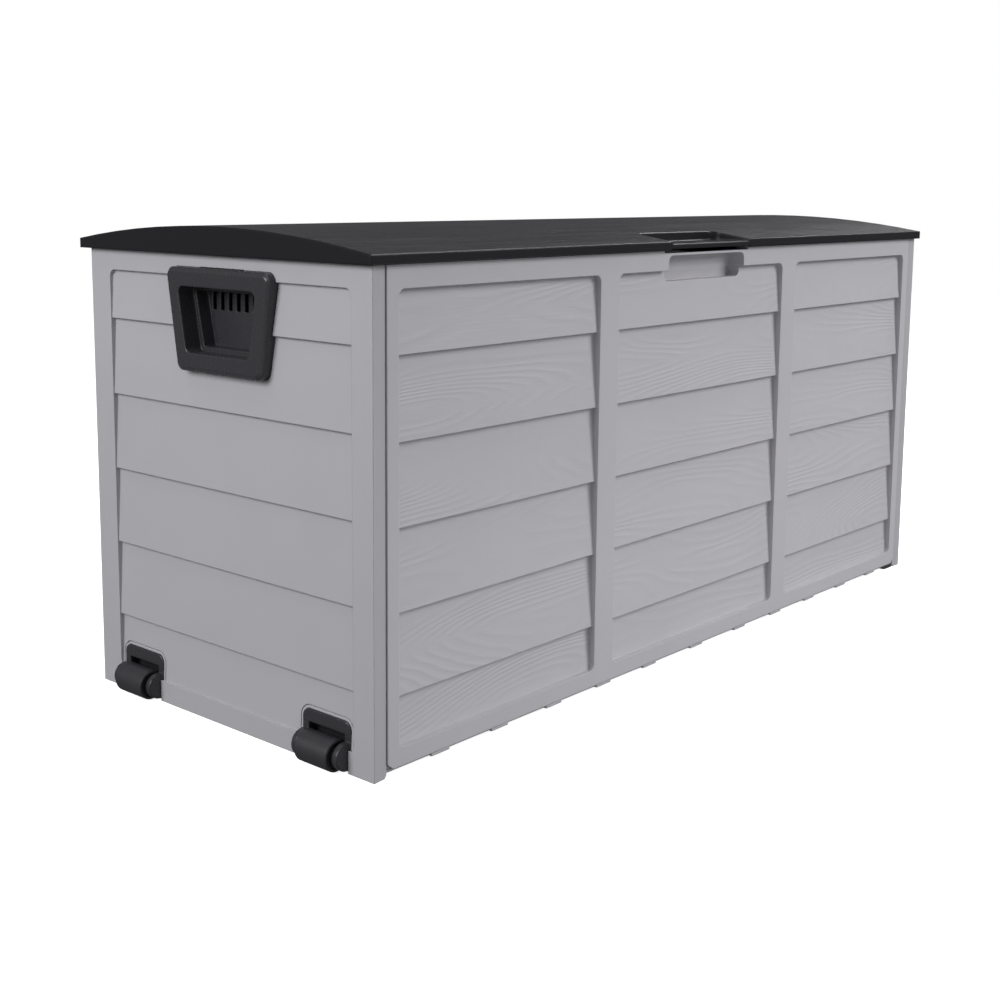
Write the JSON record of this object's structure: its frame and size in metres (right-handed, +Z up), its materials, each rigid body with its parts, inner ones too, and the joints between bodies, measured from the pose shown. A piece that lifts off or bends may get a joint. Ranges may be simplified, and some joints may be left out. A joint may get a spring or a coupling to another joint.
{
  "type": "deck storage box",
  "caption": "Outdoor deck storage box with lapped-board walls, an arched hinged lid, cup handles in both ends and rollers under one end.",
  "frame": {"origin": "on the ground under the middle of the body, at the bottom face of the floor brace's foot", "axes": "+X to the right along the front, away from the rollers; the front faces -Y; +Z up"},
  "size_m": [1.1346, 0.4607, 0.5231],
  "materials": {
    "body_resin": "satin moulded grey resin, embossed with wood grain on the long boards",
    "lid_resin": "charcoal resin with fine lengthwise grain",
    "black_resin": "satin black resin",
    "roller_resin": "dark grey satin resin",
    "steel": "zinc plated"
  },
  "bodies": {
    "box": {"front_panel": "body_resin", "rear_panel": "body_resin", "left_end_panel": "body_resin", "right_end_panel": "body_resin", "floor_left_half": "body_resin", "floor_right_half": "body_resin", "floor_brace": "body_resin", "floor_brace_screws": "steel", "left_hinge_pin": "steel", "middle_hinge_pin": "steel", "right_hinge_pin": "steel", "left_handle": "black_resin", "right_handle": "black_resin", "left_handle_screws": "steel", "right_handle_screws": "steel", "front_wheel_bracket": "black_resin", "rear_wheel_bracket": "black_resin", "front_bracket_screws": "steel", "rear_bracket_screws": "steel", "front_axle": "steel", "rear_axle": "steel", "padlock_eyelet": "black_resin", "right_front_foot": "black_resin", "right_rear_foot": "black_resin"},
    "lid": {"lid": "lid_resin"},
    "front_wheel": {"front_roller": "roller_resin"},
    "rear_wheel": {"rear_roller": "roller_resin"}
  },
  "joints": [
    {"name": "lid_hinge", "type": "hinge", "parent": "box", "child": "lid", "pos_m": [0, 0.229, 0.5], "axis": [-1, 0, 0], "range_deg": [0, 100]},
    {"name": "front_wheel_spin", "type": "hinge", "parent": "box", "child": "front_wheel", "pos_m": [-0.5568, -0.1526, 0.017], "axis": [0, 1, 0], "continuous": true},
    {"name": "rear_wheel_spin", "type": "hinge", "parent": "box", "child": "rear_wheel", "pos_m": [-0.5568, 0.1474, 0.017], "axis": [0, 1, 0], "continuous": true}
  ]
}
